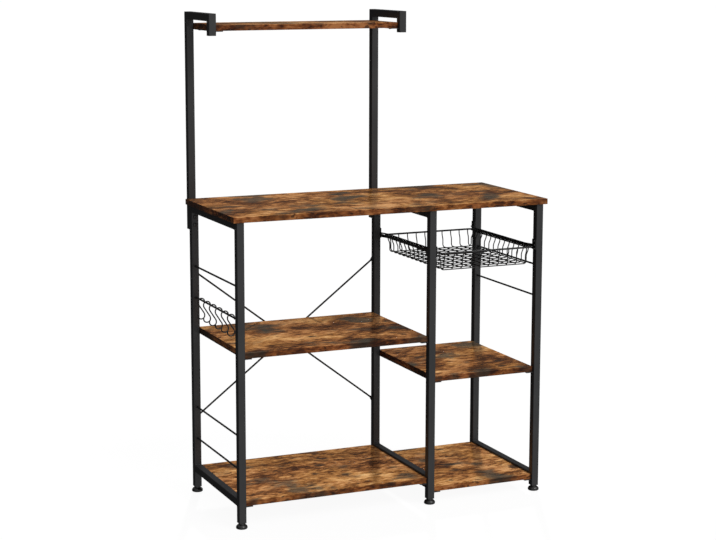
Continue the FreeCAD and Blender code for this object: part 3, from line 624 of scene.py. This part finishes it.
def bar_ends(inset=0):
    """X and underside of each end of the shelf bars, in millimetres, with X moved into the bay."""
    for sides, undersides in BAYS:
        for x, inward in zip(sides, (1, -1)):
            for z in undersides:
                yield x + inset * inward, z


def make_board_screws():
    """Pan-head screws up through the bars and the top rails into the boards."""
    down = (0, 0, -1)
    shelves = bmesh.new()
    for x, z in bar_ends(SCREW_INSET):
        for y in SHELF_SCREW_Y:
            place = (x * MM, y * MM, z * MM)
            headed(shelves, place, down, length=11 * MM, **BOARD_SCREW)
    add_piece(shelves, "shelf_screws", HARDWARE, "rack")
    raised = bmesh.new()
    for x, inward in zip(RAISED_SIDES, (1, -1)):
        for y in RAISED_SCREW_Y:
            place = ((x + SCREW_INSET * inward) * MM, y * MM, RAISED_BAR_UNDERSIDE * MM)
            headed(raised, place, down, length=11 * MM, **BOARD_SCREW)
    add_piece(raised, "hutch_shelf_screws", HARDWARE, "rack")
    top = bmesh.new()
    for x in FRAME_X.values():
        for y in WORKTOP_SCREW_Y:
            place = (x, y * MM, TOP_RAIL_UNDERSIDE)
            headed(top, place, down, length=30 * MM, **BOARD_SCREW)
    add_piece(top, "worktop_screws", HARDWARE, "rack")


# Crossed rods. Their pressed ends are shorter than the CAD's, which look too large beside the legs.

ROD_RUN = FRAME_X["middle"] - FRAME_X["left"]
ROD_LENGTH = math.hypot(ROD_RUN, ROD_HIGH - ROD_LOW)
ROD_RADIUS, TAB_RADIUS, TAB_DEPTH = 2.5 * MM, 7 * MM, 2 * MM
TAB_SQUARENESS = 0.3
ROD_SIDES = 24


def pressed_end():
    """Sections of a rod's end from its tip.

    Each has its place along the rod and behind the legs, half its width and depth, and a power
    that is 1 for an ellipse and near 0 for a rectangle.
    """
    half_depth = TAB_DEPTH / 2
    sections = []
    for turn in (12, 30, 50, 70, 90):
        a = math.radians(turn)
        along, half_width = -TAB_RADIUS * math.cos(a), TAB_RADIUS * math.sin(a)
        sections.append((along, half_depth, half_width, half_depth, TAB_SQUARENESS))
    tab_end, rod_start, steps = 5 * MM, 16 * MM, 8
    for k in range(steps + 1):
        t = k / steps
        ease = t * t * (3 - 2 * t)
        deepened = half_depth + (ROD_RADIUS - half_depth) * ease
        sections.append((
            tab_end + (rod_start - tab_end) * t,
            deepened,
            TAB_RADIUS + (ROD_RADIUS - TAB_RADIUS) * ease,
            deepened,
            TAB_SQUARENESS + (1 - TAB_SQUARENESS) * ease,
        ))
    return sections


def rod_middle(bowed):
    """Places of the round part along the rod and behind the legs.

    A bowed rod steps over the straight one.
    """
    if not bowed:
        return [(ROD_LENGTH * k / 10, ROD_RADIUS) for k in range(1, 10)]
    start, rise, over, bend = 16.5 * MM, 58 * MM, 7.8 * MM, 40 * MM
    crown = ROD_LENGTH / 2 - 12 * MM
    side = [(start, ROD_RADIUS), (rise, ROD_RADIUS), (crown, over)]
    corners = side + [(ROD_LENGTH - along, behind) for along, behind in side[::-1]]
    points = bent([Vector((along, behind, 0)) for along, behind in corners], [bend] * 4)
    return [(point.x, point.y) for point in points]


def drill(bm, spots, radius, reach):
    """The same solid with a round hole through it along Y at each spot."""
    cutter = bmesh.new()
    for spot in spots:
        lathe(cutter, [(-reach, radius), (reach, radius)], 24, aimed(spot, (0, 1, 0)))
    pieces = []
    for source in (bm, cutter):
        bmesh.ops.recalc_face_normals(source, faces=source.faces)
        mesh = bpy.data.meshes.new("drilling")
        source.to_mesh(mesh)
        source.free()
        pieces.append(bpy.data.objects.new("drilling", mesh))
        scene.collection.objects.link(pieces[-1])
    solid, tool = pieces
    holes = solid.modifiers.new("holes", "BOOLEAN")
    holes.operation = "DIFFERENCE"
    holes.solver = "EXACT"
    holes.object = tool
    bpy.context.view_layer.update()
    drilled = bmesh.new()
    drilled.from_mesh(solid.evaluated_get(bpy.context.evaluated_depsgraph_get()).to_mesh())
    for piece in pieces:
        mesh = piece.data
        bpy.data.objects.remove(piece)
        bpy.data.meshes.remove(mesh)
    return drilled


def make_rods():
    """Two round rods across the left bay, bolted to the rear faces of the legs."""
    hole_radius, hole_reach = 3.25 * MM, 5 * MM
    ends = pressed_end()
    rods = (("rising", ROD_LOW, 1, False), ("falling", ROD_HIGH, -1, True))
    for name, base, rise, bowed in rods:
        along = Vector((ROD_RUN, 0, rise * (ROD_HIGH - ROD_LOW))).normalized()
        across = Vector((0, 1, 0)).cross(along)
        start = Vector((FRAME_X["left"], LEG_Y["rear"] + HALF_TUBE, base))
        sections = ends + [(u, v, ROD_RADIUS, ROD_RADIUS, 1.0) for u, v in rod_middle(bowed)]
        sections += [(ROD_LENGTH - u, *rest) for u, *rest in ends[::-1]]
        bm = bmesh.new()
        rings = []
        for u, v, half_width, half_depth, power in sections:
            ring = []
            for k in range(ROD_SIDES):
                a = 2 * math.pi * (k + 0.5) / ROD_SIDES
                wide = half_width * math.copysign(abs(math.cos(a)) ** power, math.cos(a))
                deep = half_depth * math.copysign(abs(math.sin(a)) ** power, math.sin(a))
                corner = start + along * u + across * wide + Vector((0, v + deep, 0))
                ring.append(bm.verts.new(corner))
            rings.append(ring)
        skin(bm, rings)
        bm = drill(bm, [start, start + along * ROD_LENGTH], hole_radius, hole_reach)
        replaced = [f"brace_rod_{name}"]
        add_piece(bm, f"{name}_pressed_rod", WIRE, "rack", replaced)


# Feet with a gripped edge and a threaded stud. Their sizes are in millimetres.

PAD_RADIUS, GRIP_DEPTH, GRIP_COUNT = 15, 0.35, 30
THREAD_PITCH, THREAD_CREST, THREAD_ROOT = 1.25, 3.9, 3.25
THREAD_START, THREAD_LENGTH, THREAD_STEPS = 14.6, 17.7, 96
STUD_TIP = (32.7, 2.9)
STUD_SIDES = 24


def gripped(angle):
    """The outline of the pad's edge, as a radius by angle."""
    return (PAD_RADIUS - GRIP_DEPTH + GRIP_DEPTH * math.cos(GRIP_COUNT * angle)) * MM


def threaded(height):
    """The outline of the stud at a height, as a radius by angle."""
    def radius(angle):
        phase = (height / THREAD_PITCH - angle / (2 * math.pi)) % 1
        return (THREAD_ROOT + (THREAD_CREST - THREAD_ROOT) * (1 - abs(2 * phase - 1))) * MM
    return radius


# The pad from its underside to its top: heights and radii.
PAD_BELOW_GRIP = ((0.0, 12.2), (0.0, 13.6), (0.9, 14.2), (1.2, 14.9))
PAD_GRIP = (1.8, 5.4)
PAD_ABOVE_GRIP = (
    (6.1, 14.7), (8.0, 13.2), (9.8, 11.6), (10.8, 10.2), (11.0, 9.4), (11.4, 8.7),
    (11.8, 8.5), (14.3, 8.5), (14.7, 8.1), (14.7, 3.4),
)


def foot(name, x, y):
    bm = bmesh.new()
    spot = Matrix.Translation((x, y, 0))
    pad = [(height * MM, radius * MM) for height, radius in PAD_BELOW_GRIP]
    pad += [(height * MM, gripped) for height in PAD_GRIP]
    pad += [(height * MM, radius * MM) for height, radius in PAD_ABOVE_GRIP]
    lathe(bm, pad, 4 * GRIP_COUNT, spot)
    stud = []
    for i in range(THREAD_STEPS + 1):
        height = THREAD_START + THREAD_LENGTH * i / THREAD_STEPS
        stud.append((height * MM, threaded(height)))
    stud.append((STUD_TIP[0] * MM, STUD_TIP[1] * MM))
    lathe(bm, stud, STUD_SIDES, spot)
    add_piece(bm, f"{name}_moulded", PLASTIC, f"{name}_body", [name])


def make_feet():
    for side, x in FRAME_X.items():
        for end, y in LEG_Y.items():
            foot(f"{side}_{end}_foot", x, y)


# Welds.

RAIL_SIZE = 20 * MM

# Middles of the rungs, in millimetres.
RUNG_HEIGHTS = {"left": (632.5, 547, 241, 153), "middle": (), "right": (632.5, 547)}


def frame_welds(side, x):
    """Beads round the ends of a frame's rails, and a ring round each end of its rungs."""
    half_bead, rail_side, rung_ring = 8.4 * MM, 9.0 * MM, 2.6 * MM
    bm = bmesh.new()
    low = BOTTOM_RAIL_UNDERSIDE[side]
    for y in (FRONT_LEG_REAR_FACE, REAR_LEG_FRONT_FACE):
        for z in (TOP_RAIL_UNDERSIDE, low, low + RAIL_SIZE):
            bead(bm, Vector((x - half_bead, y, z)), Vector((x + half_bead, y, z)), 1.5 * MM)
        for underside in (TOP_RAIL_UNDERSIDE, low):
            for edge in (-1, 1):
                at = Vector((x + edge * rail_side, y, underside))
                bead(bm, shift(at, z=1 * MM), shift(at, z=RAIL_SIZE - 1 * MM), 0.95 * MM)
    for height in RUNG_HEIGHTS[side]:
        for y in (FRONT_LEG_REAR_FACE, REAR_LEG_FRONT_FACE):
            ring = []
            for k in range(24):
                a = math.pi * k / 12
                z = height * MM + rung_ring * math.sin(a)
                ring.append(Vector((x + rung_ring * math.cos(a), y, z)))
            wire(bm, ring, lambda i: (0.9 + 0.1 * math.sin(i * 2.3)) * MM, sides=6, closed=True)
    add_piece(bm, f"{side}_frame_welds", STEEL, "rack")


def bar_welds():
    """A bead along each end of the flat bars under the shelves and the raised shelf."""
    shelf_reach, raised_reach, radius = 7 * MM, 4 * MM, 1.0 * MM
    bars = bmesh.new()
    for x, z in bar_ends():
        for y in LEG_Y.values():
            at = Vector((x * MM, y, z * MM))
            bead(bars, shift(at, y=-shelf_reach), shift(at, y=shelf_reach), radius)
    for x in RAISED_SIDES:
        for y in (10, 190):
            at = Vector((x * MM, y * MM, RAISED_BAR_UNDERSIDE * MM))
            bead(bars, shift(at, y=-raised_reach), shift(at, y=raised_reach), radius)
    add_piece(bars, "bar_welds", STEEL, "rack")


def bracket_seams():
    """A thin bead along each mitre at the top of the brackets, on both sides of the tube."""
    outer_z, inner_z = 1313 * MM, 1297 * MM
    seams = bmesh.new()
    for x in (FRAME_X["left"], FRAME_X["middle"]):
        for edge in (-1, 1):
            side_x = x + edge * 9.8 * MM
            for outer_y, inner_y in ((2, 18), (198, 182)):
                start = Vector((side_x, outer_y * MM, outer_z))
                bead(seams, start, Vector((side_x, inner_y * MM, inner_z)), 0.35 * MM)
    add_piece(seams, "bracket_mitre_seams", STEEL, "rack")


def make_welds():
    for side, x in FRAME_X.items():
        frame_welds(side, x)
    bar_welds()
    bracket_seams()


# Wire basket: continuous wires bent up at both ends, welded where they cross.

BASKET_MIDDLE = Vector((270 * MM, -17 * MM, 684.3 * MM))
HALF_WIDTH, HALF_LENGTH = 139 * MM, 177 * MM
RIM_RADIUS, MESH_RADIUS, RIM_BEND = 2.5 * MM, 1.5 * MM, 12 * MM
LIP, MARGIN = 10 * MM, 6 * MM
JOG_DROP, JOG_HEIGHT = 9 * MM, 14 * MM
WALL_BENDS = (22 * MM, 22 * MM, 8 * MM)
CROSS_COUNT, LONG_COUNT = 13, 10
CROSS_DEPTH, LONG_DEPTH = 47 * MM, 44 * MM


def row_of(half, count):
    """Places of a row of wires along a wall."""
    reach = half - LIP - MARGIN
    return [-reach + 2 * reach * k / (count - 1) for k in range(count)]


def basket_wires(name, across, count, depth, replaces):
    """Wires that run down one wall with a step inwards, over the floor and up the other wall."""
    half, other = (HALF_WIDTH, HALF_LENGTH) if across else (HALF_LENGTH, HALF_WIDTH)
    wall, rim_side = half - LIP, half - RIM_RADIUS - MESH_RADIUS
    side = [
        (rim_side, 0.8 * MESH_RADIUS),
        (rim_side, -JOG_DROP),
        (wall, -JOG_DROP - JOG_HEIGHT),
        (wall, -depth),
    ]
    outline = [(-u, z) for u, z in side] + side[::-1]
    bm = bmesh.new()
    for at in row_of(other, count):
        corners = [Vector((u, at, z)) if across else Vector((at, u, z)) for u, z in outline]
        points = bent(corners, WALL_BENDS + WALL_BENDS[::-1])
        wire(bm, [BASKET_MIDDLE + point for point in points], MESH_RADIUS)
    add_piece(bm, name, WIRE, "basket", replaces)


def make_basket():
    cross_nodes = ["basket_cross_wires", "basket_left_mesh", "basket_right_mesh"]
    long_nodes = ["basket_long_wires", "basket_front_mesh", "basket_rear_mesh"]
    basket_wires("basket_bent_cross_wires", True, CROSS_COUNT, CROSS_DEPTH, cross_nodes)
    basket_wires("basket_bent_long_wires", False, LONG_COUNT, LONG_DEPTH, long_nodes)
    rim = bmesh.new()
    outline = [(0, -1), (1, -1), (1, 1), (-1, 1), (-1, -1), (0, -1)]
    corners = [BASKET_MIDDLE + Vector((x * HALF_WIDTH, y * HALF_LENGTH, 0)) for x, y in outline]
    points = bent(corners, [RIM_BEND] * 4, steps=10)
    wire(rim, points[:-1], RIM_RADIUS, sides=14, closed=True)
    add_piece(rim, "basket_rim_wire", WIRE, "basket", ["basket_rim"])
    spots = bmesh.new()
    flat = Matrix.Diagonal((1.0, 1.0, 0.55, 1.0))
    for y in row_of(HALF_LENGTH, CROSS_COUNT):
        for x in row_of(HALF_WIDTH, LONG_COUNT):
            place = BASKET_MIDDLE + Vector((x, y, -(CROSS_DEPTH + LONG_DEPTH) / 2))
            bmesh.ops.create_icosphere(
                spots, subdivisions=1, radius=MESH_RADIUS,
                matrix=Matrix.Translation(place) @ flat)
    add_piece(spots, "basket_weld_spots", WIRE, "basket", crease=80)


# Flat bars that join the plates of each basket guide, as the photograph shows one dark band.

BAR_PLACES = ((121 * MM, 1), (419 * MM, -1))
BAR_LIFT = 1 * MM

# From front to rear, in millimetres: the ends of a bar, and places between them.
BAR_STATIONS = (-174.8, -90, 0, 80, 159.8)


def bar_section():
    """The outline of a guide bar in X and Z, with rounded edges."""
    half_height, half_thickness, arris = 2.5 * MM, 1 * MM, 0.4 * MM
    section = []
    for side, up in ((1, 1), (-1, 1), (-1, -1), (1, -1)):
        corner = (side * (half_thickness - arris), up * (half_height - arris))
        for turn in (0, 30, 60, 90) if side * up > 0 else (90, 60, 30, 0):
            a = math.radians(turn)
            section.append((
                corner[0] + side * arris * math.cos(a),
                corner[1] + up * arris * math.sin(a),
            ))
    return section


def make_guide_bars():
    middle = BASKET_MIDDLE.z + BAR_LIFT
    section = bar_section()
    bars = bmesh.new()
    for x, side in BAR_PLACES:
        rings = []
        for y in BAR_STATIONS:
            rings.append([bars.verts.new((x + dx, y * MM, middle + dz)) for dx, dz in section])
        skin(bars, rings)
        for y in (FRONT_LEG_REAR_FACE, REAR_LEG_FRONT_FACE):
            at = Vector((x + side * 0.9 * MM, y, middle))
            bead(bars, shift(at, z=-2 * MM), shift(at, z=2 * MM), 0.8 * MM)
    add_piece(bars, "basket_guide_bars", WIRE, "rack")


# Domed tips on the cut ends of the S-hooks.

HOOK_COUNT, FIRST_HOOK_Y, HOOK_PITCH = 6, -117.5, 47
HOOK_ENDS = ((-420.5, 539.05, -1), (-439.5, 507.55, 1))
TIP_START, TIP_RADIUS = 0.25, 1.8


def make_hook_tips():
    """A tip over each end of each hook. Places are in millimetres: X, Z and up or down."""
    profile = [(-0.2 * MM, 1.6 * MM), (-0.2 * MM, 1.78 * MM), (TIP_START * MM, TIP_RADIUS * MM)]
    for turn in map(math.radians, (15, 30, 45, 60, 75, 86)):
        height = TIP_START + TIP_RADIUS * math.sin(turn)
        profile.append((height * MM, TIP_RADIUS * math.cos(turn) * MM))
    for i in range(HOOK_COUNT):
        y = (FIRST_HOOK_Y + HOOK_PITCH * i) * MM
        bm = bmesh.new()
        for x, z, up in HOOK_ENDS:
            lathe(bm, profile, 20, aimed((x * MM, y, z * MM), (0, 0, up)))
        add_piece(bm, f"hook_{i + 1}_tips", WIRE, f"hook_{i + 1}_body")


scene.view_settings.view_transform = "Standard"
make_camera()
make_world()
make_lights()
make_floor()
paint_nodes()
make_bolts()
make_board_screws()
make_rods()
make_feet()
make_welds()
make_basket()
make_guide_bars()
make_hook_tips()
